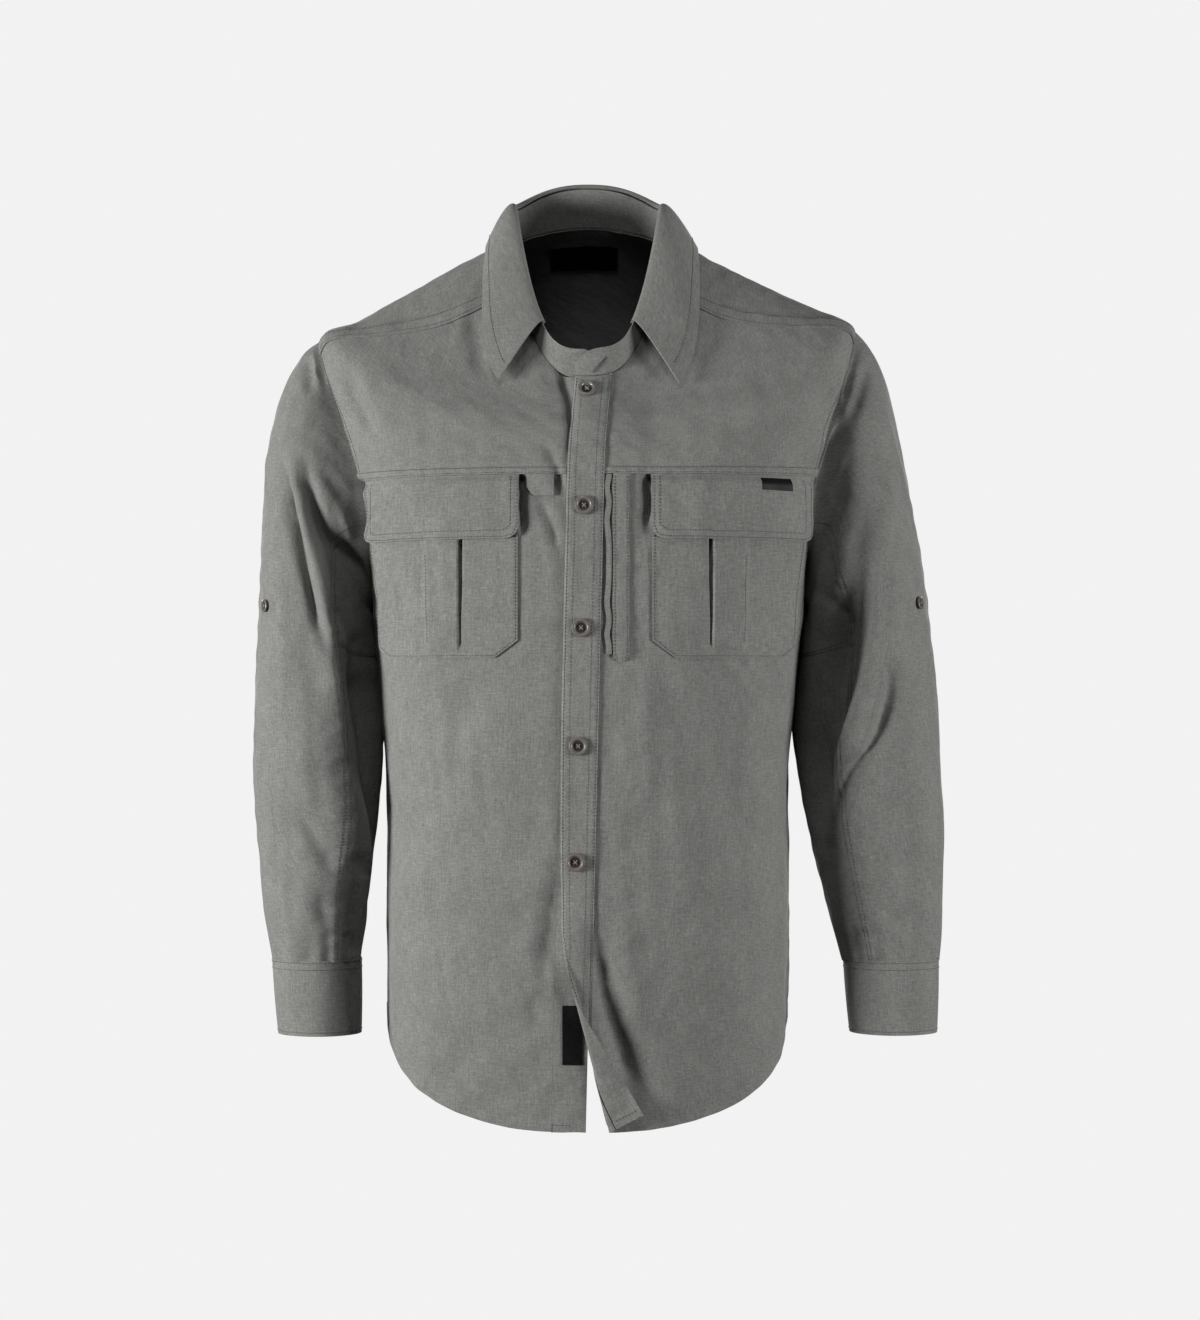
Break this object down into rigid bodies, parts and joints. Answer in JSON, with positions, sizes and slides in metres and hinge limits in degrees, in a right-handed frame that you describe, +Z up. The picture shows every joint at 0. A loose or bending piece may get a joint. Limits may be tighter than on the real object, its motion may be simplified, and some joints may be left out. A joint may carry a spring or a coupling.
{
  "type": "work shirt",
  "caption": "Long-sleeved work shirt, buttoned down the front, with two flapped chest pockets and a turned-down collar, filled out as when worn.",
  "frame": {"origin": "midway between the two side neck points, where the collar meets the shoulders of the wearer, who holds the shirt up", "axes": "+Z up along the wearer's spine, -Y to the front, +X to the wearer's left"},
  "size_m": [0.6301, 0.3114, 0.8615],
  "materials": {
    "shirting": "matte, heather charcoal grey shirting",
    "inner_yoke_cloth": "matte, near-black cloth",
    "zip_tape": "matte, dark tape",
    "label_cloth": "satin, black, blank",
    "button_resin": "satin, dark taupe"
  },
  "bodies": {
    "root": {"back_panel": "shirting", "back_yoke": "shirting", "chest_zip_tape": "zip_tape", "chest_zip_welt": "shirting", "collar_leaf": "shirting", "collar_stand": "shirting", "cuff_button_left": "button_resin", "cuff_button_right": "button_resin", "cuff_left": "shirting", "cuff_right": "shirting", "flap_label": "label_cloth", "front_button_1": "button_resin", "front_button_2": "button_resin", "front_button_3": "button_resin", "front_button_4": "button_resin", "front_button_5": "button_resin", "front_lower_left": "shirting", "front_lower_right": "shirting", "front_upper_left": "shirting", "front_upper_right": "shirting", "hem_label": "label_cloth", "neck_label": "label_cloth", "placket_left": "shirting", "placket_right": "shirting", "pocket_flap_left": "shirting", "pocket_flap_right": "shirting", "pocket_left": "shirting", "pocket_right": "shirting", "sleeve_button_left": "button_resin", "sleeve_button_right": "button_resin", "sleeve_left": "shirting", "sleeve_right": "shirting", "tool_tab": "shirting", "under_sleeve_left": "shirting", "under_sleeve_right": "shirting", "underarm_gusset_left": "shirting", "underarm_gusset_right": "shirting", "yoke_lining": "inner_yoke_cloth"}
  },
  "joints": []
}
